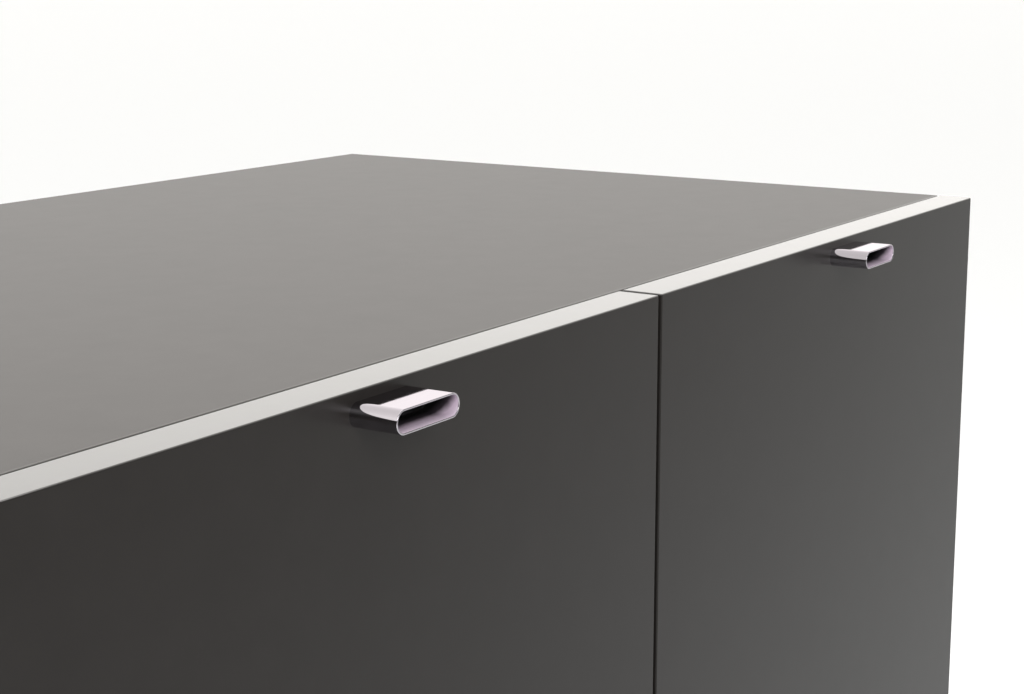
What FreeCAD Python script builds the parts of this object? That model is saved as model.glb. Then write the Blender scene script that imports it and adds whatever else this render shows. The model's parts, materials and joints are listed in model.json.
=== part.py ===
import FreeCAD, Part
import math
import os
import re

import Sketcher

# A free-standing dresser with four deep drawers, two side by side in two rows, in lacquered board.
# Millimetres. +Z is up, +X is to the viewer's right and the drawers open towards -Y. The origin is on
# the floor, under the middle of the dresser with its pull tabs.

SIZES = {
    # the case
    "case_width": 870,
    "case_depth": 520,
    "case_height": 785,
    "board": 19,
    "edge_radius": 0.8,
    "plinth_height": 62,
    "plinth_rise": 8,
    "plinth_front_setback": 60,
    "plinth_side_setback": 20,
    "plinth_back_setback": 10,
    # the back panel, let into a rebate from behind
    "back_board": 6,
    "rebate_inset": 10,
    "rebate_play": 0.2,
    # the drawer fronts
    "front_board": 22,
    "front_gap": 3,
    "front_clearance": 1,
    # the pull tabs
    "handle_width": 41,
    "handle_height": 10,
    "handle_depth": 22,
    "handle_wall": 0.8,
    "handle_base": 6,
    "handle_hole": 4.5,
    "handle_drop": 4.5,
    "handle_outset": 4,
    "handle_rim": 0.3,
    "handle_pitch": 24,
    # the drawer boxes
    "box_board": 15,
    "box_height": 275,
    "box_rise": 30,
    "box_bottom": 6,
    "box_bottom_rise": 12,
    "groove": 6,
    "groove_play": 0.15,
    # the telescopic runners
    "runner": 12.7,
    "runner_length": 450,
    "runner_rise": 90,
    "runner_inset": 2,
    "runner_steel": 1.2,
    "cabinet_half": 22.5,
    "cabinet_reach": 11.2,
    "cabinet_lip": 3,
    "mid_web": 1.9,
    "mid_half": 18.8,
    "mid_reach": 10.6,
    "mid_lip": 2.9,
    "mid_inset": 4,
    "drawer_half": 14.8,
    "drawer_reach": 3.8,
    "drawer_lip": 2.4,
    # cam locks, their bolts and the dowels
    "cam_radius": 7.5,
    "cam_depth": 12.5,
    "cam_reach": 24,
    "cam_socket": 2.6,
    "cam_socket_depth": 4,
    "bolt_thread_radius": 3,
    "bolt_thread": 11,
    "bolt_neck_radius": 2,
    "bolt_neck": 20,
    "bolt_head_radius": 3.4,
    "bolt_head": 6,
    "bolt_bore": 4,
    "dowel_radius": 4,
    "dowel_length": 30,
    "dowel_entry": 11,
    "drill_play": 0.05,
    "fitting_inset": 60,
    "dowel_inset": 110,
    # screws
    "handle_screw_radius": 2,
    "handle_screw_head": 4,
    "handle_screw_sink": 2.3,
    "handle_screw_length": 26,
    "handle_screw_socket": 1.4,
    "wood_screw_radius": 1.75,
    "wood_screw_head": 3.5,
    "wood_screw_sink": 2,
    "wood_screw_length": 22,
    "wood_screw_socket": 1.3,
    "divider_screw_radius": 2.5,
    "divider_screw_head": 5,
    "divider_screw_sink": 3.5,
    "divider_screw_length": 50,
    "divider_screw_socket": 2.3,
    # levelling feet and the bumpers behind the fronts
    "foot_radius": 15,
    "foot_pad": 6,
    "foot_edge": 1.5,
    "foot_stud_radius": 4,
    "foot_stud": 34,
    "foot_inset": 70,
    "bumper_radius": 3,
    "bumper_height": 0.7,
    "bumper_drop": 60,
}

# Places and lengths worked out from the sizes above, as formulas in the sheet's own words.
FRONT_Y = "(handle_depth - case_depth) / 2"
BACK_Y = "(handle_depth + case_depth) / 2"
CASE_Y = f"{FRONT_Y} + front_board + front_clearance"
CASE_DEPTH = "(case_depth - front_board - front_clearance)"
INSIDE_DEPTH = f"({CASE_DEPTH} - back_board)"
FRONT_WIDTH = "(case_width - front_gap) / 2"
FRONT_HEIGHT = "(case_height - plinth_height - front_gap) / 2"
COMPARTMENT = "(case_width - 3 * board) / 2"
BOX_WIDTH = f"({COMPARTMENT} - 2 * runner)"
BOX_DEPTH = "runner_length"
PLINTH_WIDTH = "(case_width - 2 * plinth_side_setback)"
PLINTH_FRONT_Y = f"{FRONT_Y} + plinth_front_setback"
PLINTH_BACK_Y = f"{BACK_Y} - plinth_back_setback - board"
PLINTH_BOARD = "(plinth_height - plinth_rise)"

COLUMNS = {"left": -1, "right": 1}
ROWS = {"upper": 1, "lower": 0}

X = (1, 0, 0)
Y = (0, 1, 0)
Z = (0, 0, 1)

doc = FreeCAD.newDocument("dresser")
sheet = doc.addObject("Spreadsheet::Sheet", "Sizes")
for row, (alias, value) in enumerate(SIZES.items(), 1):
    sheet.set(f"A{row}", str(value))
    sheet.setAlias(f"A{row}", alias)
doc.recompute()

nodes = []


# Helpers


def formula(text):
    """A size formula with each of its words turned into a reference to the sheet."""
    return re.sub(r"[a-z_]+", lambda word: "Sizes." + word.group(), str(text))


def bind(item, **sizes):
    """Ties an object's properties to size formulas."""
    for name, text in sizes.items():
        item.setExpression(name, formula(text))


def place(item, point, rotation=FreeCAD.Rotation()):
    """Turns an object and ties its position to three size formulas."""
    item.Placement = FreeCAD.Placement(FreeCAD.Vector(), rotation)
    for axis, text in zip("xyz", point):
        item.setExpression(f"Placement.Base.{axis}", formula(text))


def shift(point, direction, distance):
    """A point moved along a unit direction by a size formula."""
    return tuple(
        f"{value} + {part} * ({distance})" if part else value
        for value, part in zip(point, direction)
    )


def opposite(direction):
    return tuple(-part for part in direction)


def node(item, label):
    """Names an object as one of the dresser's sub-parts, to be written out."""
    item.Label = label
    nodes.append(item)
    return item


def fused(name, items):
    item = doc.addObject("Part::MultiFuse", name)
    item.Shapes = items
    return item


def cut(name, base, cutters):
    """A piece with all its bores, grooves and rebates taken out."""
    item = doc.addObject("Part::Cut", name)
    item.Base = base
    item.Tool = fused(name + "_bores", cutters) if len(cutters) > 1 else cutters[0]
    return item


def group(name, items):
    """Identical loose pieces kept together as separate solids."""
    item = doc.addObject("Part::Compound", name)
    item.Links = items
    return item


def block(name, corner, size):
    """A square-edged block from its lowest corner."""
    item = doc.addObject("Part::Box", name)
    bind(item, Length=size[0], Width=size[1], Height=size[2])
    place(item, corner)
    return item


def rod(name, start, direction, radius, length):
    """A round rod or bore that begins at start and runs along direction."""
    item = doc.addObject("Part::Cylinder", name)
    bind(item, Radius=radius, Height=length)
    place(item, start, FreeCAD.Rotation(FreeCAD.Vector(0, 0, 1), FreeCAD.Vector(*direction)))
    return item


def hexagon(name, start, direction, radius, length):
    """A six-sided key socket that begins at start and runs along direction."""
    item = doc.addObject("Part::Prism", name)
    item.Polygon = 6
    bind(item, Circumradius=radius, Height=length)
    place(item, start, FreeCAD.Rotation(FreeCAD.Vector(0, 0, 1), FreeCAD.Vector(*direction)))
    return item


def sketch_on(body, role, name, offset=0):
    """An empty sketch on one of the body's own origin planes, raised by an offset along its normal."""
    sketch = body.newObject("Sketcher::SketchObject", name)
    plane = next(item for item in body.Origin.OriginFeatures if item.Role == role)
    sketch.AttachmentSupport = (plane, "")
    sketch.MapMode = "FlatFace"
    sketch.setExpression("AttachmentOffset.Base.z", formula(offset))
    return sketch


def outline(sketch, corners):
    """A closed outline of straight edges, with each corner held at its own two formulas."""
    count = len(corners)
    ring = Part.makePolygon([FreeCAD.Vector(1, 0), FreeCAD.Vector(0, 1), FreeCAD.Vector(-1, -1)])
    points = ring.discretize(Number=count + 1)
    for start, end in zip(points, points[1:]):
        sketch.addGeometry(Part.LineSegment(start, end), False)
    for index, (across, up) in enumerate(corners):
        sketch.addConstraint(Sketcher.Constraint("Coincident", index, 2, (index + 1) % count, 1))
        for kind, text in (("DistanceX", across), ("DistanceY", up)):
            made = sketch.addConstraint(Sketcher.Constraint(kind, -1, 1, index, 1, 1.0))
            sketch.setExpression(f"Constraints[{made}]", formula(text))


def pill(sketch, inset):
    """The tab's pill outline, drawn in by an inset: two level edges between half-round ends."""
    reach = (SIZES["handle_width"] - SIZES["handle_height"]) / 2
    radius = SIZES["handle_height"] / 2 - SIZES.get(inset, 0)
    up = FreeCAD.Vector(0, 0, 1)
    right = Part.Circle(FreeCAD.Vector(reach, 0), up, radius)
    left = Part.Circle(FreeCAD.Vector(-reach, 0), up, radius)
    quarter = math.pi / 2
    sketch.addGeometry(Part.ArcOfCircle(right, -quarter, quarter), False)
    sketch.addGeometry(Part.ArcOfCircle(left, quarter, 3 * quarter), False)
    top = Part.LineSegment(FreeCAD.Vector(reach, radius), FreeCAD.Vector(-reach, radius))
    bottom = Part.LineSegment(FreeCAD.Vector(-reach, -radius), FreeCAD.Vector(reach, -radius))
    sketch.addGeometry(top, False)
    sketch.addGeometry(bottom, False)
    for first, first_end, second, second_end in ((0, 2, 2, 1), (2, 2, 1, 1), (1, 2, 3, 1), (3, 2, 0, 1)):
        sketch.addConstraint(Sketcher.Constraint("Tangent", first, first_end, second, second_end))
    sketch.addConstraint(Sketcher.Constraint("Horizontal", 2))
    sketch.addConstraint(Sketcher.Constraint("Symmetric", 0, 3, 1, 3, -1, 1))
    ends = sketch.addConstraint(Sketcher.Constraint("Radius", 0, radius))
    span = sketch.addConstraint(Sketcher.Constraint("DistanceX", 1, 3, 0, 3, 2 * reach))
    sketch.setExpression(f"Constraints[{ends}]", formula(f"handle_height / 2 - {inset}"))
    sketch.setExpression(f"Constraints[{span}]", formula("handle_width - handle_height"))


def pad(body, sketch, length, backwards=False):
    item = body.newObject("PartDesign::Pad", sketch.Name + "_pad")
    item.Profile = sketch
    item.Reversed = backwards
    bind(item, Length=length)
    return item


def pocket(body, sketch, length, backwards=False):
    item = body.newObject("PartDesign::Pocket", sketch.Name + "_pocket")
    item.Profile = sketch
    item.Reversed = backwards
    bind(item, Length=length)
    return item


def rounded_board(name, corner, size):
    """A board from its lowest corner, with every edge eased to the same small radius."""
    body = doc.addObject("PartDesign::Body", name)
    face = sketch_on(body, "XY_Plane", name + "_face")
    outline(face, [(0, 0), (size[0], 0), (size[0], size[1]), (0, size[1])])
    slab = pad(body, face, size[2])
    eased = body.newObject("PartDesign::Fillet", name + "_edges")
    eased.Base = (slab, [""])
    eased.UseAllEdges = True
    bind(eased, Radius="edge_radius")
    place(body, corner)
    return body


# Fasteners


def countersunk_screw(name, head, direction, kind, clearance=0):
    """A countersunk screw from its flush head along direction; clearance widens it into its own bore."""
    radius = f"{kind}_radius + {clearance}"
    shank = rod(name + "_shank", head, direction, radius, f"{kind}_length")
    cone = doc.addObject("Part::Cone", name + "_head")
    bind(cone, Radius1=f"{kind}_head + {clearance}", Radius2=radius, Height=f"{kind}_sink")
    place(cone, head, FreeCAD.Rotation(FreeCAD.Vector(0, 0, 1), FreeCAD.Vector(*direction)))
    return fused(name, [shank, cone])


def screw(name, head, direction, kind):
    """A countersunk screw with its key socket, and the bore that takes it."""
    blank = countersunk_screw(name + "_blank", head, direction, kind)
    socket = hexagon(name + "_socket", head, direction, f"{kind}_socket", f"{kind}_sink")
    return cut(name, blank, [socket]), countersunk_screw(name + "_bore", head, direction, kind, "drill_play")


def cam_fitting(name, joint, into, face, thickness):
    """A cam lock and the bolt that it draws tight.

    joint is a point between the two boards, into points into the board that holds the bolt's thread, and
    face points out of the face that the cam is let into, in a board of the given thickness."""
    away = opposite(into)
    inward = opposite(face)
    thread = rod(name + "_thread", joint, into, "bolt_thread_radius", "bolt_thread")
    neck = rod(name + "_neck", joint, away, "bolt_neck_radius", "bolt_neck + bolt_head")
    head = rod(name + "_tip", shift(joint, away, "bolt_neck"), away, "bolt_head_radius", "bolt_head")
    bolt = fused(name + "_bolt", [thread, neck, head])
    seat = shift(shift(joint, face, f"{thickness} / 2"), away, "cam_reach")
    disc = rod(name + "_disc", seat, inward, "cam_radius", "cam_depth")
    socket = hexagon(name + "_socket", seat, inward, "cam_socket", "cam_socket_depth")
    throat = rod(name + "_throat", joint, away, "bolt_bore", "cam_reach + bolt_bore")
    cam = cut(name + "_cam", disc, [socket, throat])
    thread_bore = rod(
        name + "_thread_bore", joint, into, "bolt_thread_radius + drill_play", "bolt_thread + drill_play"
    )
    cam_bore = rod(name + "_cam_bore", seat, inward, "cam_radius + drill_play", "cam_depth + drill_play")
    return {"bolt": bolt, "cam": cam, "bolt_side": [thread_bore], "cam_side": [throat, cam_bore]}


def dowel(name, joint, into):
    """A dowel across a joint, and the two bores that it fills."""
    start = shift(joint, into, "dowel_entry")
    away = opposite(into)
    pin = rod(name, start, away, "dowel_radius", "dowel_length")
    bore_start = shift(start, into, "drill_play")
    bore = rod(
        name + "_bore", bore_start, away, "dowel_radius + drill_play", "dowel_length + 2 * drill_play"
    )
    return pin, bore


# The case


def case_joints():
    """Every fastener of the case, with the bores that each board needs for them."""
    bores = {"top": [], "left": [], "right": [], "divider": [], "bottom": []}
    bores.update({"plinth_front": [], "plinth_back": [], "plinth_left": [], "plinth_right": []})
    cams = []
    bolts = []
    dowels = []
    top_z = "case_height - board"
    ends = {"front": (CASE_Y, 1), "rear": (BACK_Y, -1)}
    uprights = {"left": (-1, X), "right": (1, opposite(X)), "divider": (0, X)}
    for upright, (side, face) in uprights.items():
        middle = f"{side} * (case_width - board) / 2"
        for end, (edge, inward) in ends.items():
            name = f"top_{upright}_{end}"
            spot = (middle, f"{edge} + {inward} * fitting_inset", top_z)
            fitting = cam_fitting(name, spot, Z, face, "board")
            pin, bore = dowel(name + "_dowel", (middle, f"{edge} + {inward} * dowel_inset", top_z), Z)
            cams.append(fitting["cam"])
            bolts.append(fitting["bolt"])
            dowels.append(pin)
            bores["top"] += fitting["bolt_side"] + [bore]
            bores[upright] += fitting["cam_side"] + [bore]
    middle_z = "plinth_height + board / 2"
    for upright, side in COLUMNS.items():
        wall = f"{side} * (case_width / 2 - board)"
        outward = (side, 0, 0)
        for end, (edge, inward) in ends.items():
            name = f"bottom_{upright}_{end}"
            spot = (wall, f"{edge} + {inward} * fitting_inset", middle_z)
            fitting = cam_fitting(name, spot, outward, opposite(Z), "board")
            pin, bore = dowel(
                name + "_dowel", (wall, f"{edge} + {inward} * dowel_inset", middle_z), outward
            )
            cams.append(fitting["cam"])
            bolts.append(fitting["bolt"])
            dowels.append(pin)
            bores[upright] += fitting["bolt_side"] + [bore]
            bores["bottom"] += fitting["cam_side"] + [bore]
    plinth_boards = {
        "front": (f"{PLINTH_FRONT_Y} + board / 2", f"{PLINTH_FRONT_Y} + board", opposite(Y)),
        "back": (f"{PLINTH_BACK_Y} + board / 2", PLINTH_BACK_Y, Y),
    }
    for end, (middle_y, rail_end, outward) in plinth_boards.items():
        for column, side in COLUMNS.items():
            name = f"plinth_{end}_{column}"
            spot = (f"{side} * {PLINTH_WIDTH} / 4", middle_y, "plinth_height")
            pin, bore = dowel(name + "_dowel", spot, Z)
            dowels.append(pin)
            bores["bottom"].append(bore)
            bores[f"plinth_{end}"].append(bore)
            rail_x = f"{side} * ({PLINTH_WIDTH} - board) / 2"
            corner = (rail_x, rail_end, f"plinth_rise + {PLINTH_BOARD} / 2")
            pin, bore = dowel(name + "_corner_dowel", corner, outward)
            dowels.append(pin)
            bores[f"plinth_{end}"].append(bore)
            bores[f"plinth_{column}"].append(bore)
    node(group("cam_locks", cams), "cam_locks")
    node(group("cam_bolts", bolts), "cam_bolts")
    node(group("dowels", dowels), "dowels")
    return bores


def divider_screws(bores):
    """Two screws up through the bottom panel into the foot of the divider."""
    screws = []
    for end, y in {"front": f"{CASE_Y} + fitting_inset", "rear": f"{BACK_Y} - fitting_inset"}.items():
        made, bore = screw(f"divider_{end}_screw", (0, y, "plinth_height"), Z, "divider_screw")
        screws.append(made)
        bores["bottom"].append(bore)
        bores["divider"].append(bore)
    node(group("divider_screws", screws), "divider_screws")


def back_panel(bores):
    """The back panel in its rebate, with screws round its rim and up the divider."""
    width = "(case_width - 2 * rebate_inset)"
    height = "(case_height - plinth_height - 2 * rebate_inset)"
    corner = (f"-{width} / 2", f"{BACK_Y} - back_board", "plinth_height + rebate_inset")
    panel = block("back_board", corner, (width, "back_board", height))
    play_corner = shift(shift(corner, X, "-rebate_play"), Z, "-rebate_play")
    play_size = (f"{width} + 2 * rebate_play", "back_board", f"{height} + 2 * rebate_play")
    rebate = block("back_rebate", play_corner, play_size)
    for board in ("top", "left", "right", "bottom"):
        bores[board].append(rebate)
    edge = "(board - rebate_inset) / 2"
    low = f"plinth_height + rebate_inset + {edge}"
    high = f"case_height - rebate_inset - {edge}"
    spots = []
    for share in (-0.42, 0, 0.42):
        across = f"{share} * {width}"
        spots += [(across, high, "top"), (across, low, "bottom")]
        up = f"plinth_height + case_height / 2 - plinth_height / 2 + {share} * 0.9 * {height}"
        spots += [(f"{side} * ({width} / 2 - {edge})", up, column) for column, side in COLUMNS.items()]
        spots += [(0, up, "divider")]
    screws = []
    holes = []
    for number, (x, z, board) in enumerate(spots):
        made, bore = screw(f"back_screw_{number}", (x, BACK_Y, z), opposite(Y), "wood_screw")
        screws.append(made)
        holes.append(bore)
        bores[board].append(bore)
    node(cut("back_panel", panel, holes), "back_panel")
    node(group("back_panel_screws", screws), "back_panel_screws")


def case_boards(bores):
    """The boards of the case, each with its own bores and rebate."""
    inner_height = "case_height - plinth_height - board"
    top_size = ("case_width", CASE_DEPTH, "board")
    top = rounded_board("top_board", ("-case_width / 2", CASE_Y, "case_height - board"), top_size)
    node(cut("top_panel", top, bores["top"]), "top_panel")
    for column, side in COLUMNS.items():
        x = f"{side} * (case_width - board) / 2 - board / 2"
        upright = rounded_board(
            f"{column}_board", (x, CASE_Y, "plinth_height"), ("board", CASE_DEPTH, inner_height)
        )
        node(cut(f"{column}_side_panel", upright, bores[column]), f"{column}_side_panel")
    divider = block(
        "divider_board",
        ("-board / 2", CASE_Y, "plinth_height + board"),
        ("board", INSIDE_DEPTH, f"{inner_height} - board"),
    )
    node(cut("centre_divider", divider, bores["divider"]), "centre_divider")
    bottom = block(
        "bottom_board",
        ("board - case_width / 2", CASE_Y, "plinth_height"),
        ("case_width - 2 * board", CASE_DEPTH, "board"),
    )
    node(cut("bottom_panel", bottom, bores["bottom"]), "bottom_panel")


def plinth(bores):
    """The recessed plinth: a front and a back board with a rail at each end between them."""
    size = (PLINTH_WIDTH, "board", PLINTH_BOARD)
    for end, y in {"front": PLINTH_FRONT_Y, "back": PLINTH_BACK_Y}.items():
        name = f"plinth_{end}"
        blank = block(name + "_board", (f"-{PLINTH_WIDTH} / 2", y, "plinth_rise"), size)
        node(cut(name, blank, bores[name]), name)
    rail_size = ("board", f"{PLINTH_BACK_Y} - ({PLINTH_FRONT_Y}) - board", PLINTH_BOARD)
    for column, side in COLUMNS.items():
        x = f"{side} * ({PLINTH_WIDTH} - board) / 2 - board / 2"
        blank = block(f"plinth_{column}_blank", (x, f"{PLINTH_FRONT_Y} + board", "plinth_rise"), rail_size)
        name = f"plinth_{column}_rail"
        node(cut(name, blank, bores[f"plinth_{column}"]), name)


def levelling_feet(bores):
    """Six screw feet under the front and back boards of the plinth."""
    feet = []
    for end, y in {"front": PLINTH_FRONT_Y, "back": PLINTH_BACK_Y}.items():
        for spot in (-1, 0, 1):
            name = f"foot_{end}_{spot + 1}"
            floor = (f"{spot} * ({PLINTH_WIDTH} / 2 - foot_inset)", f"{y} + board / 2", 0)
            rim = rod(name + "_rim", shift(floor, Z, "foot_edge"), Z, "foot_radius", "foot_pad - foot_edge")
            sole = doc.addObject("Part::Cone", name + "_sole")
            bind(sole, Radius1="foot_radius - foot_edge", Radius2="foot_radius", Height="foot_edge")
            place(sole, floor)
            stud_foot = shift(floor, Z, "foot_pad")
            stud = rod(name + "_stud", stud_foot, Z, "foot_stud_radius", "foot_stud")
            feet.append(fused(name, [rim, sole, stud]))
            bores[f"plinth_{end}"].append(
                rod(name + "_bore", stud_foot, Z, "foot_stud_radius + drill_play", "foot_stud + drill_play")
            )
    node(group("levelling_feet", feet), "levelling_feet")


# The drawers


def channel(name, web, reach, turn, half, lip, length):
    """A lipped steel channel along Y. Its web is at X = web, and its flanges run to X = reach.

    turn is 1 where the channel opens towards +X and -1 where it opens towards -X."""
    inner = f"{web} + {turn} * runner_steel"
    end = f"{reach} - {turn} * runner_steel"
    lower = [
        (web, f"-{half}"),
        (reach, f"-{half}"),
        (reach, f"-{half} + {lip}"),
        (end, f"-{half} + {lip}"),
        (end, f"-{half} + runner_steel"),
        (inner, f"-{half} + runner_steel"),
    ]
    upper = [(x, f"0 - ({z})") for x, z in reversed(lower)]
    body = doc.addObject("PartDesign::Body", name)
    section = sketch_on(body, "XZ_Plane", name + "_section")
    outline(section, lower + upper)
    pad(body, section, length, backwards=True)
    return body


def runner_pair(name, member, wall_left, wall_right, y, z):
    """The same runner member on both walls of a compartment, each seen from its own wall."""
    makers = {
        "cabinet": ("0", "cabinet_reach", 1, "cabinet_half", "cabinet_lip", "runner_length"),
        "mid": ("mid_web", "mid_reach", 1, "mid_half", "mid_lip", "runner_length - mid_inset"),
        "drawer": ("runner", "drawer_reach", -1, "drawer_half", "drawer_lip", "runner_length - mid_inset"),
    }
    shape = makers[member]
    left = channel(name + "_left", *shape)
    place(left, (wall_left, y, z))
    right = channel(name + "_right", *shape)
    half_turn = FreeCAD.Rotation(FreeCAD.Vector(0, 0, 1), 180)
    place(right, (wall_right, f"{y} + {shape[-1]}", z), half_turn)
    return [left, right]


def handle(name, spot):
    """A hollow chromed pill-shaped tab, open at its outer end, with two blind tapped holes in its base."""
    body = doc.addObject("PartDesign::Body", name)
    shell = sketch_on(body, "XZ_Plane", name + "_shell")
    pill(shell, 0)
    pad(body, shell, "handle_depth")
    hollow = sketch_on(body, "XZ_Plane", name + "_hollow", "handle_depth")
    pill(hollow, "handle_wall")
    pocket(body, hollow, "handle_depth - handle_base")
    holes = sketch_on(body, "XZ_Plane", name + "_holes")
    for side in (-1, 1):
        centre = FreeCAD.Vector(side * SIZES["handle_pitch"] / 2, 0)
        circle = Part.Circle(centre, FreeCAD.Vector(0, 0, 1), SIZES["handle_screw_radius"])
        made = holes.addGeometry(circle, False)
        radius = holes.addConstraint(Sketcher.Constraint("Radius", made, SIZES["handle_screw_radius"]))
        across = holes.addConstraint(Sketcher.Constraint("DistanceX", -1, 1, made, 3, centre.x))
        holes.addConstraint(Sketcher.Constraint("PointOnObject", made, 3, -1))
        holes.setExpression(f"Constraints[{radius}]", formula("handle_screw_radius + drill_play"))
        holes.setExpression(f"Constraints[{across}]", formula(f"{side} * handle_pitch / 2"))
    tapped = pocket(body, holes, "handle_hole", backwards=True)
    doc.recompute()
    outer_end = 1 - SIZES["handle_depth"]
    rim = [f"Edge{n}" for n, edge in enumerate(tapped.Shape.Edges, 1) if edge.BoundBox.YMax < outer_end]
    eased = body.newObject("PartDesign::Fillet", name + "_rim")
    eased.Base = (tapped, rim)
    bind(eased, Radius="handle_rim")
    place(body, spot)
    return body


def drawer(row, column):
    """One drawer with its front, tab, box, fittings and runners. Returns its two cabinet runner members."""
    name = f"{row}_{column}"
    side = COLUMNS[column]
    front_x = f"{side} * (case_width + front_gap) / 4"
    front_z = f"plinth_height + {ROWS[row]} * ({FRONT_HEIGHT} + front_gap)"
    back_face = f"{FRONT_Y} + front_board"
    box_x = f"{side} * (case_width - board) / 4"
    box_z = f"{front_z} + box_rise"

    grip_x = f"{front_x} + {side} * handle_outset"
    grip = (grip_x, FRONT_Y, f"{front_z} + {FRONT_HEIGHT} - handle_drop - handle_height / 2")
    node(handle(f"{name}_tab", grip), f"{name}_handle")
    front_bores = []
    handle_screws = []
    for number in (-1, 1):
        head = (f"{grip_x} + {number} * handle_pitch / 2", back_face, grip[2])
        made, bore = screw(f"{name}_handle_screw_{number + 1}", head, opposite(Y), "handle_screw")
        handle_screws.append(made)
        front_bores.append(bore)
    node(group(f"{name}_screws", handle_screws), f"{name}_handle_screws")

    floor_z = f"{box_z} + box_bottom_rise"
    floor_width = f"({BOX_WIDTH} - 2 * box_board + 2 * groove)"
    floor_depth = f"({BOX_DEPTH} - box_board + 2 * groove)"
    floor_corner = (f"{box_x} - {floor_width} / 2", f"{back_face} - groove", floor_z)
    floor = block(f"{name}_floor", floor_corner, (floor_width, floor_depth, "box_bottom"))
    node(floor, f"{name}_box_bottom")
    slot_corner = tuple(f"{value} - groove_play" for value in floor_corner)
    slot_size = tuple(f"{value} + 2 * groove_play" for value in (floor_width, floor_depth, "box_bottom"))
    slot = block(f"{name}_slot", slot_corner, slot_size)

    fittings = []
    for hand, turn in COLUMNS.items():
        wall_x = f"{box_x} + {turn} * ({BOX_WIDTH} - box_board) / 2"
        wall_bores = [slot]
        for share in (0.2, 0.8):
            spot = (wall_x, back_face, f"{box_z} + {share} * box_height")
            fitting = cam_fitting(
                f"{name}_{hand}_{int(10 * share)}", spot, opposite(Y), (turn, 0, 0), "box_board"
            )
            fittings += [fitting["cam"], fitting["bolt"]]
            wall_bores += fitting["cam_side"]
            front_bores += fitting["bolt_side"]
        wall = rounded_board(
            f"{name}_{hand}_wall",
            (f"{wall_x} - box_board / 2", back_face, box_z),
            ("box_board", BOX_DEPTH, "box_height"),
        )
        node(cut(f"{name}_box_{hand}", wall, wall_bores), f"{name}_box_{hand}_side")
    node(group(f"{name}_fittings", fittings), f"{name}_cam_fittings")

    inner_width = f"({BOX_WIDTH} - 2 * box_board)"
    rear = rounded_board(
        f"{name}_rear",
        (f"{box_x} - {inner_width} / 2", f"{back_face} + {BOX_DEPTH} - box_board", box_z),
        (inner_width, "box_board", "box_height"),
    )
    node(cut(f"{name}_back", rear, [slot]), f"{name}_box_back")

    face = rounded_board(
        f"{name}_face",
        (f"{front_x} - {FRONT_WIDTH} / 2", FRONT_Y, front_z),
        (FRONT_WIDTH, "front_board", FRONT_HEIGHT),
    )
    node(cut(f"{name}_panel", face, front_bores + [slot]), f"{name}_front")

    walls = (f"{box_x} - {COMPARTMENT} / 2", f"{box_x} + {COMPARTMENT} / 2")
    runner_y = f"{CASE_Y} + runner_inset"
    runner_z = f"{box_z} + runner_rise"
    mids = runner_pair(f"{name}_mid", "mid", *walls, runner_y, runner_z)
    node(group(f"{name}_mids", mids), f"{name}_middle_runners")
    inners = runner_pair(f"{name}_inner", "drawer", *walls, runner_y, runner_z)
    node(group(f"{name}_inners", inners), f"{name}_drawer_runners")
    return runner_pair(f"{name}_outer", "cabinet", *walls, runner_y, runner_z)


def bumpers():
    """Soft discs on the case's front edges that each drawer front closes against."""
    discs = []
    for row, level in ROWS.items():
        top = f"plinth_height + {level} * ({FRONT_HEIGHT} + front_gap) + {FRONT_HEIGHT}"
        for column, side in COLUMNS.items():
            outer = f"{side} * (case_width - board) / 2"
            inner = f"{side} * (board / 2 - bumper_radius - edge_radius)"
            for place_name, x in {"outer": outer, "inner": inner}.items():
                spot = (x, CASE_Y, f"{top} - bumper_drop")
                disc_name = f"bumper_{row}_{column}_{place_name}"
                discs.append(rod(disc_name, spot, opposite(Y), "bumper_radius", "bumper_height"))
    node(group("bumpers", discs), "drawer_bumpers")


def write(items):
    """Stops on any object that failed, then writes each sub-part to its own file."""
    for item in doc.Objects:
        if "Invalid" in item.State or "Error" in item.State:
            raise RuntimeError(f"{item.Label}: {item.State}")
    for item in items:
        if item.Shape.isNull() or not item.Shape.isValid():
            raise RuntimeError(f"{item.Label} has no valid shape")
    os.makedirs("parts", exist_ok=True)
    for item in items:
        item.Shape.exportStep(f"parts/{item.Label}.step")


case_bores = case_joints()
divider_screws(case_bores)
back_panel(case_bores)
levelling_feet(case_bores)
case_boards(case_bores)
plinth(case_bores)
bumpers()
cabinet_members = []
for row in ROWS:
    for column in COLUMNS:
        cabinet_members += drawer(row, column)
node(group("runners", cabinet_members), "cabinet_runners")
doc.recompute()
write(nodes)
print(len(nodes), "sub-parts")
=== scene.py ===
import json
import math

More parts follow.
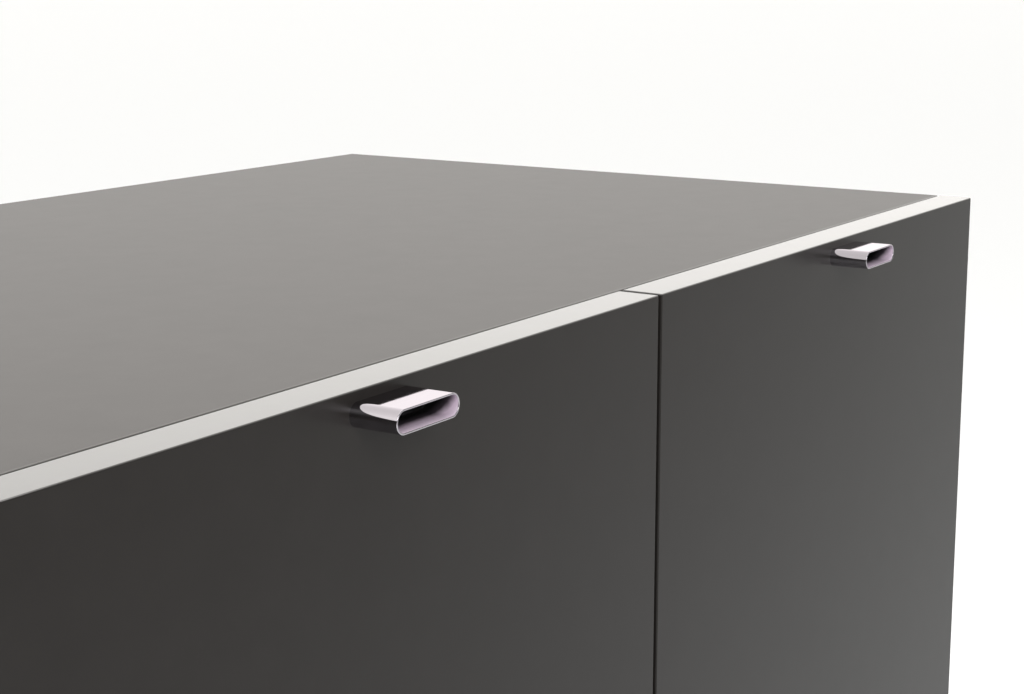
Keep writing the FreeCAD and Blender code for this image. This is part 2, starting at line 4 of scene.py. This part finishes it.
import bmesh
import bpy
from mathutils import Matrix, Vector


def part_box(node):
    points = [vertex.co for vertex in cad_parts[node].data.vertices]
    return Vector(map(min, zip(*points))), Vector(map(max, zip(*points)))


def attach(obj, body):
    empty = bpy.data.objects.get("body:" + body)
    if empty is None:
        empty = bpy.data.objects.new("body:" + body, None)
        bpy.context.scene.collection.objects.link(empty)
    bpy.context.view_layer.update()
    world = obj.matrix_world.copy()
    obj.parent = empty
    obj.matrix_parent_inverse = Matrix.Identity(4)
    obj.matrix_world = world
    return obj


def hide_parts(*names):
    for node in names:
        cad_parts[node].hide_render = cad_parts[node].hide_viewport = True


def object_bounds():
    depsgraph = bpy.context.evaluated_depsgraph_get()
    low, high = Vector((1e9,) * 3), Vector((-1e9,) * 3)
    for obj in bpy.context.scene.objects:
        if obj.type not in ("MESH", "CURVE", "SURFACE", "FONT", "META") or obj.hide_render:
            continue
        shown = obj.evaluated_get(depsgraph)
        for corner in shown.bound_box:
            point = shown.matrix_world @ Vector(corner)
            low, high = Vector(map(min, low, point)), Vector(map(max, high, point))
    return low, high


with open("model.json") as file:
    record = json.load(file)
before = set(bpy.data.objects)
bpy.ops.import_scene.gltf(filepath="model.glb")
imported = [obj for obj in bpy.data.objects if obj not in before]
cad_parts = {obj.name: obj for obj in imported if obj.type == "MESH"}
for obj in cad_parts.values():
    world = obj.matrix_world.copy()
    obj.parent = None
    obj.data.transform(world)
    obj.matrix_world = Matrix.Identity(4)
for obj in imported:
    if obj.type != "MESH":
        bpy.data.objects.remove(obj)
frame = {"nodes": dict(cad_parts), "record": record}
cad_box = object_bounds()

# A dark grey lacquered dresser with four deep drawers and small hollow chrome tabs. Metres throughout.

LOWEST, HIGHEST = cad_box
DRAWERS = [f"{row}_{column}" for row in ("upper", "lower") for column in ("left", "right")]
AXES = "XYZ"

TAB_WALL = 0.0008
TAB_BASE = 0.006
TAB_HOLLOW = 0.016
TAB_RIM = 0.0003
TAB_HOLLOW_CORNER = 0.0012

PLY = 0.0014
COAT_IOR = 1.7


# Shader helpers


def new_material(name, **values):
    """A material whose uniform values are set on its shader, and its place in metres."""
    material = bpy.data.materials.new(name)
    material.use_nodes = True
    tree = material.node_tree
    shader = tree.nodes["Principled BSDF"]
    for socket, value in values.items():
        shader.inputs[socket.replace("_", " ")].default_value = value
    place = tree.nodes.new("ShaderNodeTexCoord")
    return material, tree, shader, place.outputs["Object"]


def link(tree, output, target):
    """Joins an output to an input socket."""
    tree.links.new(output, target)


def stretched(tree, place, scale):
    """The coordinate with each axis scaled on its own, in features per metre."""
    mapping = tree.nodes.new("ShaderNodeMapping")
    mapping.inputs["Scale"].default_value = scale
    link(tree, place, mapping.inputs["Vector"])
    return mapping.outputs["Vector"]


def noise(tree, place, scale, detail=3.0, roughness=0.5, distortion=0.0):
    """Cloudy noise around 0.5, with scale in features per metre."""
    node = tree.nodes.new("ShaderNodeTexNoise")
    node.inputs["Scale"].default_value = scale
    node.inputs["Detail"].default_value = detail
    node.inputs["Roughness"].default_value = roughness
    node.inputs["Distortion"].default_value = distortion
    link(tree, place, node.inputs["Vector"])
    return node.outputs["Fac"]


def ramp(tree, factor, stops):
    """Colours or greys along a factor: stops are (position, value) pairs."""
    node = tree.nodes.new("ShaderNodeValToRGB")
    elements = node.color_ramp.elements
    while len(elements) < len(stops):
        elements.new(0.5)
    for element, (position, value) in zip(elements, stops):
        element.position = position
        colour = value if isinstance(value, tuple) else (value, value, value)
        element.color = (*colour, 1.0)
    link(tree, factor, node.inputs["Fac"])
    return node.outputs["Color"]


def mix(tree, factor, first, second, blend="MIX"):
    """Two colours or greys blended by a factor. Each of the three is an output or a plain value."""
    node = tree.nodes.new("ShaderNodeMix")
    node.data_type = "RGBA"
    node.blend_type = blend
    for value, socket in ((factor, node.inputs[0]), (first, node.inputs[6]), (second, node.inputs[7])):
        if isinstance(value, bpy.types.NodeSocket):
            link(tree, value, socket)
        elif isinstance(value, tuple):
            socket.default_value = (*value, 1.0)
        else:
            socket.default_value = value
    return node.outputs[2]


def maths(tree, operation, *values):
    """The result of a maths operation on outputs or plain numbers."""
    node = tree.nodes.new("ShaderNodeMath")
    node.operation = operation
    for value, socket in zip(values, node.inputs):
        if isinstance(value, bpy.types.NodeSocket):
            link(tree, value, socket)
        else:
            socket.default_value = value
    return node.outputs[0]


def bump(tree, shader, height, distance):
    """Relief from a height of 0 to 1, standing distance metres proud where the height is 1."""
    node = tree.nodes.new("ShaderNodeBump")
    node.inputs["Distance"].default_value = distance
    link(tree, height, node.inputs["Height"])
    link(tree, node.outputs["Normal"], shader.inputs["Normal"])


def part_of(tree, vector, axis):
    """One axis of a vector."""
    parts = tree.nodes.new("ShaderNodeSeparateXYZ")
    link(tree, vector, parts.inputs["Vector"])
    return parts.outputs[axis]


def facing(tree, axis):
    """How far the surface faces along one axis, from -1 to 1."""
    geometry = tree.nodes.new("ShaderNodeNewGeometry")
    return part_of(tree, geometry.outputs["True Normal"], axis)


# Materials


def rounded(tree):
    """1 on a board's small edge roundings, 0 on its flat faces."""
    flat_from = 0.985
    flattest = 0.0
    for axis in AXES:
        flattest = maths(tree, "MAXIMUM", maths(tree, "ABSOLUTE", facing(tree, axis)), flattest)
    return maths(tree, "LESS_THAN", flattest, flat_from)


def lacquer():
    """Dark grey satin lacquer of the case: a fine orange peel, rubbed brighter on its rounded edges."""
    edge_polish = 0.7
    material, tree, shader, place = new_material(
        "grey_lacquer", Specular_IOR_Level=0.29, Coat_Roughness=0.12, Coat_IOR=COAT_IOR
    )
    shade = noise(tree, place, 40.0, 5.0, 0.65)
    colour = ramp(tree, shade, [(0.3, (0.034, 0.030, 0.027)), (0.7, (0.039, 0.034, 0.031))])
    link(tree, colour, shader.inputs["Base Color"])
    sheen = noise(tree, place, 60.0, 4.0, 0.6)
    link(tree, ramp(tree, sheen, [(0.3, 0.44), (0.7, 0.45)]), shader.inputs["Roughness"])
    link(tree, maths(tree, "MULTIPLY", rounded(tree), edge_polish), shader.inputs["Coat Weight"])
    bump(tree, shader, noise(tree, place, 1100.0, 2.0), 0.000012)
    return material


def front_lacquer():
    """A deeper grey on the drawer fronts, with a bright polish on their upward edges."""
    upward_from = 0.3
    strip_polish = 0.77
    material, tree, shader, place = new_material(
        "front_lacquer", Specular_IOR_Level=0.13, Coat_Roughness=0.06, Coat_IOR=COAT_IOR
    )
    shade = noise(tree, place, 40.0, 5.0, 0.65)
    colour = ramp(tree, shade, [(0.3, (0.0155, 0.0136, 0.0123)), (0.7, (0.0175, 0.0154, 0.0140))])
    link(tree, colour, shader.inputs["Base Color"])
    sheen = noise(tree, place, 60.0, 4.0, 0.6)
    link(tree, ramp(tree, sheen, [(0.3, 0.30), (0.7, 0.31)]), shader.inputs["Roughness"])
    upward = maths(tree, "GREATER_THAN", facing(tree, "Z"), upward_from)
    link(tree, maths(tree, "MULTIPLY", upward, strip_polish), shader.inputs["Coat Weight"])
    bump(tree, shader, noise(tree, place, 1100.0, 2.0), 0.000006)
    return material


def chrome():
    """Polished chrome plate with a faint lilac cast and a film of wiping marks."""
    material, tree, shader, place = new_material(
        "chrome", Metallic=1.0, Base_Color=(0.385, 0.365, 0.39, 1.0), Specular_Tint=(0.95, 0.92, 0.95, 1.0)
    )
    haze = noise(tree, place, 350.0, 4.0, 0.6)
    link(tree, ramp(tree, haze, [(0.35, 0.03), (0.75, 0.08)]), shader.inputs["Roughness"])
    wipes = noise(tree, stretched(tree, place, (60.0, 900.0, 900.0)), 1.0, 2.0)
    bump(tree, shader, wipes, 0.000002)
    return material


def satin_plate_painted_shade():
    """The satin plating of a tab's hollow, with painted shade in its colour: it darkens to near black
    deeper into the hollow, and soonest on the upper wall, which faces down."""
    material, tree, shader, place = new_material("satin_plate_painted_shade", Metallic=0.1, Specular_IOR_Level=0.5)
    cloud = noise(tree, place, 260.0, 4.0, 0.6)
    rim_y = LOWEST.y
    painted_shade_overhead = 0.22
    patchiness = 0.12
    # Painted shade: darker the further into the hollow, darker still on the down-facing upper wall, with
    # cloudy patches.
    inwards = maths(
        tree, "MULTIPLY_ADD", part_of(tree, place, "Y"), 1 / TAB_HOLLOW, -rim_y / TAB_HOLLOW
    )
    overhead = maths(tree, "MULTIPLY_ADD", facing(tree, "Z"), -painted_shade_overhead, painted_shade_overhead)
    depth = maths(tree, "MULTIPLY_ADD", cloud, patchiness, maths(tree, "ADD", inwards, overhead))
    # Painted shade ramp: pale lilac plating at the rim, falling to near black deeper in.
    painted_shade_fading = [
        (0.06, (0.82, 0.69, 0.81)),
        (0.38, (0.70, 0.57, 0.69)),
        (0.64, (0.05, 0.04, 0.05)),
        (0.9, 0.008),
    ]
    link(tree, ramp(tree, depth, painted_shade_fading), shader.inputs["Base Color"])
    link(tree, ramp(tree, cloud, [(0.3, 0.42), (0.7, 0.34)]), shader.inputs["Roughness"])
    bump(tree, shader, noise(tree, place, 2600.0, 3.0, 0.6), 0.00001)
    return material


def birch(name, along, through):
    """Clear-lacquered birch plywood: along is its face grain's axis, through its plies' axis."""
    material, tree, shader, place = new_material(name, Specular_IOR_Level=0.4)
    figure_scale = tuple(5.0 if axis == along else 55.0 for axis in AXES)
    figure = noise(tree, stretched(tree, place, figure_scale), 1.0, 5.0, 0.55, 0.6)
    face = ramp(
        tree, figure, [(0.25, (0.50, 0.36, 0.22)), (0.5, (0.62, 0.47, 0.30)), (0.75, (0.70, 0.56, 0.38))]
    )
    pore_scale = tuple(45.0 if axis == along else 1600.0 for axis in AXES)
    pores = noise(tree, stretched(tree, place, pore_scale), 1.0, 2.0)
    flecked = mix(tree, ramp(tree, pores, [(0.60, 0.0), (0.72, 0.35)]), face, (0.34, 0.22, 0.12))
    layers = maths(tree, "PINGPONG", part_of(tree, place, through), PLY)
    depth = maths(tree, "MULTIPLY", layers, 1 / PLY)
    plies = ramp(tree, depth, [(0.42, (0.36, 0.23, 0.13)), (0.58, (0.66, 0.51, 0.34))])
    end_grain = noise(tree, place, 1500.0, 2.0)
    edge = mix(tree, ramp(tree, end_grain, [(0.45, 0.0), (0.8, 0.5)]), plies, (0.30, 0.19, 0.10))
    broad_from = 0.7
    broad = maths(tree, "GREATER_THAN", maths(tree, "ABSOLUTE", facing(tree, through)), broad_from)
    link(tree, mix(tree, broad, edge, flecked), shader.inputs["Base Color"])
    link(tree, ramp(tree, figure, [(0.3, 0.46), (0.7, 0.38)]), shader.inputs["Roughness"])
    bump(tree, shader, pores, 0.00002)
    return material


def hardboard():
    """The grey-painted back panel, with the faint fibre of pressed board."""
    material, tree, shader, place = new_material("painted_hardboard", Specular_IOR_Level=0.3)
    fibre = noise(tree, stretched(tree, place, (500.0, 500.0, 220.0)), 1.0, 4.0, 0.7, 1.5)
    colour = ramp(tree, fibre, [(0.3, (0.062, 0.060, 0.058)), (0.7, (0.084, 0.081, 0.078))])
    link(tree, colour, shader.inputs["Base Color"])
    link(tree, ramp(tree, fibre, [(0.3, 0.72), (0.7, 0.6)]), shader.inputs["Roughness"])
    bump(tree, shader, fibre, 0.00006)
    return material


def rolled_steel():
    """Bright zinc-plated steel strip, rolled along the runners' length."""
    material, tree, shader, place = new_material("rolled_steel", Metallic=1.0)
    streaks = noise(tree, stretched(tree, place, (1400.0, 6.0, 1400.0)), 1.0, 3.0, 0.6)
    bloom = noise(tree, place, 45.0, 4.0, 0.6)
    tone = mix(tree, 0.5, streaks, bloom)
    colour = ramp(tree, tone, [(0.3, (0.50, 0.51, 0.53)), (0.7, (0.68, 0.69, 0.71))])
    link(tree, colour, shader.inputs["Base Color"])
    link(tree, ramp(tree, streaks, [(0.3, 0.24), (0.7, 0.40)]), shader.inputs["Roughness"])
    bump(tree, shader, streaks, 0.000006)
    return material


def cast_zinc():
    """Zinc plate on the cams, bolts and screws."""
    material, tree, shader, place = new_material("zinc_plate", Metallic=1.0)
    grain = noise(tree, place, 900.0, 4.0, 0.7)
    colour = ramp(tree, grain, [(0.3, (0.44, 0.44, 0.42)), (0.7, (0.62, 0.62, 0.60))])
    link(tree, colour, shader.inputs["Base Color"])
    link(tree, ramp(tree, grain, [(0.3, 0.48), (0.7, 0.34)]), shader.inputs["Roughness"])
    bump(tree, shader, grain, 0.00003)
    return material


def beech():
    """Plain beech dowels with short dark rays."""
    material, tree, shader, place = new_material("beech")
    rays = noise(tree, place, 700.0, 3.0, 0.6)
    colour = ramp(tree, rays, [(0.35, (0.40, 0.25, 0.14)), (0.6, (0.58, 0.40, 0.25))])
    link(tree, colour, shader.inputs["Base Color"])
    link(tree, ramp(tree, rays, [(0.3, 0.7), (0.7, 0.55)]), shader.inputs["Roughness"])
    bump(tree, shader, rays, 0.00005)
    return material


def moulded(name, dark, light, relief):
    """Plastic or rubber with the fine spark-eroded grain of its mould."""
    material, tree, shader, place = new_material(name)
    grain = noise(tree, place, 1800.0, 3.0, 0.7)
    link(tree, ramp(tree, grain, [(0.3, dark), (0.7, light)]), shader.inputs["Base Color"])
    link(tree, ramp(tree, grain, [(0.3, 0.58), (0.7, 0.46)]), shader.inputs["Roughness"])
    bump(tree, shader, grain, relief)
    return material


def dress():
    """Gives every CAD node its finish, with each plywood board's grain its own way.

    Returns the finishes by slot."""
    slots = {row["node"]: row["material_slot"] for row in frame["record"]["subparts"]}
    finishes = {
        "lacquer": lacquer(),
        "chrome": chrome(),
        "box_board": birch("birch_sides", "Y", "X"),
        "box_floor": birch("birch_floor", "Y", "Z"),
        "back_board": hardboard(),
        "runner_steel": rolled_steel(),
        "zinc": cast_zinc(),
        "beech": beech(),
        "foot": moulded("black_plastic", (0.012, 0.012, 0.012), (0.022, 0.022, 0.022), 0.00003),
        "bumper": moulded("grey_rubber", (0.20, 0.20, 0.20), (0.28, 0.28, 0.28), 0.00001),
    }
    for name, item in frame["nodes"].items():
        item.data.materials.clear()
        item.data.materials.append(finishes[slots[name]])
    across = birch("birch_backs", "X", "Y")
    fronts = front_lacquer()
    for drawer in DRAWERS:
        frame["nodes"][f"{drawer}_front"].data.materials[0] = fronts
        frame["nodes"][f"{drawer}_box_back"].data.materials[0] = across
    return finishes


# The pull tabs


def tab_profile(radius, depth):
    """The tab's section from base to rim and back down the hollow.

    Each row is its radius, how far out it is, and whether it lies in the hollow."""
    rows = [(radius, 0.0, False)]
    steps = 6
    for step in range(steps + 1):
        turn = math.pi / 2 * step / steps
        out = depth - TAB_RIM + TAB_RIM * math.sin(turn)
        rows.append((radius - TAB_RIM + TAB_RIM * math.cos(turn), out, False))
    inner = radius - TAB_WALL
    for step in range(steps + 1):
        turn = math.pi / 2 * step / steps
        out = depth - TAB_RIM + TAB_RIM * math.cos(turn)
        rows.append((inner + TAB_RIM - TAB_RIM * math.sin(turn), out, False))
    for step in range(steps + 1):
        turn = math.pi / 2 * step / steps
        out = TAB_BASE + TAB_HOLLOW_CORNER * (1 - math.sin(turn))
        rows.append((inner - TAB_HOLLOW_CORNER * (1 - math.cos(turn)), out, True))
    return rows


def tab(drawer, finishes):
    """A hollow pill-shaped tab with a rounded rim, in place of its plainer CAD solid.

    The finishes are its polished outside and the softer plating of its hollow, which carries painted shade
    deeper in."""
    low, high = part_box(f"{drawer}_handle")
    radius = (high.z - low.z) / 2
    reach = (high.x - low.x) / 2 - radius
    middle = Vector(((low.x + high.x) / 2, high.y, (low.z + high.z) / 2))
    bends = 32
    turns = [math.pi * (step / bends - 0.5) for step in range(bends + 1)]
    turns += [turn + math.pi for turn in turns]
    form = bmesh.new()
    rings = []
    rows = tab_profile(radius, high.y - low.y)
    for ring_radius, out, _ in rows:
        ring = []
        for number, turn in enumerate(turns):
            centre = reach if number <= bends else -reach
            spot = (centre + ring_radius * math.cos(turn), -out, ring_radius * math.sin(turn))
            ring.append(form.verts.new(middle + Vector(spot)))
        rings.append(ring)
    for (first, second), row in zip(zip(rings, rings[1:]), rows[1:]):
        for number in range(len(turns)):
            after = (number + 1) % len(turns)
            face = form.faces.new((first[number], first[after], second[after], second[number]))
            face.material_index = 1 if row[2] else 0
            face.smooth = True
    base = form.faces.new(rings[0])
    for edge in base.edges:
        edge.smooth = False
    form.faces.new(reversed(rings[-1])).material_index = 1
    bmesh.ops.recalc_face_normals(form, faces=form.faces)
    mesh = bpy.data.meshes.new(f"{drawer}_tab")
    form.to_mesh(mesh)
    form.free()
    for finish in finishes:
        mesh.materials.append(finish)
    item = bpy.data.objects.new(f"{drawer}_tab", mesh)
    bpy.context.scene.collection.objects.link(item)
    shading = item.modifiers.new("even_shading", "WEIGHTED_NORMAL")
    shading.weight = 100
    shading.keep_sharp = True
    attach(item, f"{drawer}_drawer")
    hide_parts(f"{drawer}_handle")


# The studio


def floor():
    """A plain pale floor, far larger than the dresser."""
    mesh = bpy.data.meshes.new("studio_floor")
    reach = 40.0
    corners = [(-reach, -reach, 0), (reach, -reach, 0), (reach, reach, 0), (-reach, reach, 0)]
    mesh.from_pydata(corners, [], [(0, 1, 2, 3)])
    item = bpy.data.objects.new("studio_floor", mesh)
    bpy.context.scene.collection.objects.link(item)
    item.location.z = LOWEST.z
    material, tree, shader, place = new_material("floor_paint")
    speck = noise(tree, place, 120.0, 3.0)
    colour = ramp(tree, speck, [(0.3, (0.935, 0.955, 0.975)), (0.7, (0.955, 0.975, 0.99))])
    link(tree, colour, shader.inputs["Base Color"])
    link(tree, ramp(tree, speck, [(0.3, 0.55), (0.7, 0.6)]), shader.inputs["Roughness"])
    item.data.materials.append(material)


def daylight():
    """A bright sky behind the dresser, fading towards the zenith and towards the viewer's side."""
    world = bpy.data.worlds.new("studio")
    bpy.context.scene.world = world
    world.use_nodes = True
    tree = world.node_tree
    background = tree.nodes["Background"]
    place = tree.nodes.new("ShaderNodeTexCoord").outputs["Generated"]
    heights = [(0.0, 0.50), (0.12, 0.585), (0.30, 0.635), (0.5, 0.62), (1.0, 0.44)]
    height = ramp(tree, part_of(tree, place, "Z"), heights)
    to_right, to_back, middle = 0.15, 0.45, 0.47
    across = maths(tree, "MULTIPLY_ADD", part_of(tree, place, "X"), to_right, middle)
    away = maths(tree, "MULTIPLY_ADD", part_of(tree, place, "Y"), to_back, across)
    side = ramp(tree, away, [(0.28, (0.10, 0.10, 0.10)), (0.62, (1.0, 0.978, 0.945))])
    link(tree, mix(tree, 1.0, height, side, "MULTIPLY"), background.inputs["Color"])
    background.inputs["Strength"].default_value = 2.95


def softbox(name, spot, target, width, depth, power):
    """A soft rectangular lamp at a spot, turned towards a target, with its power in watts."""
    light = bpy.data.lights.new(name, "AREA")
    light.shape = "RECTANGLE"
    light.size, light.size_y = width, depth
    light.energy = power
    item = bpy.data.objects.new(name, light)
    item.location = spot
    item.rotation_euler = (Vector(target) - Vector(spot)).to_track_quat("-Z", "Y").to_euler()
    bpy.context.scene.collection.objects.link(item)


def camera():
    """The close three-quarter view of the upper right corner."""
    corner = Vector((HIGHEST.x, LOWEST.y, HIGHEST.z))
    to_left, in_front, above = 1.2192, 0.3992, 0.1601
    azimuth, pitch = -57.19, 10.57
    focal, shift = 66.37, -0.04
    data = bpy.data.cameras.new("camera")
    data.lens = focal
    data.shift_y = shift
    data.clip_start = 0.01
    item = bpy.data.objects.new("camera", data)
    item.location = corner + Vector((-to_left, -in_front, above))
    item.rotation_euler = (math.radians(90 - pitch), 0, math.radians(azimuth))
    bpy.context.scene.collection.objects.link(item)
    bpy.context.scene.camera = item


bpy.context.scene.view_settings.view_transform = "Standard"
finishes = dress()
tab_finishes = (finishes["chrome"], satin_plate_painted_shade())
for drawer in DRAWERS:
    tab(drawer, tab_finishes)
floor()
daylight()
softbox("overhead", spot=(0.0, -0.4, 2.6), target=(0.0, 0.0, 0.4), width=2.4, depth=1.6, power=25.0)
softbox("key", spot=(-1.7, -2.5, 2.2), target=(0.0, -0.26, 0.6), width=1.6, depth=1.6, power=75.0)
camera()
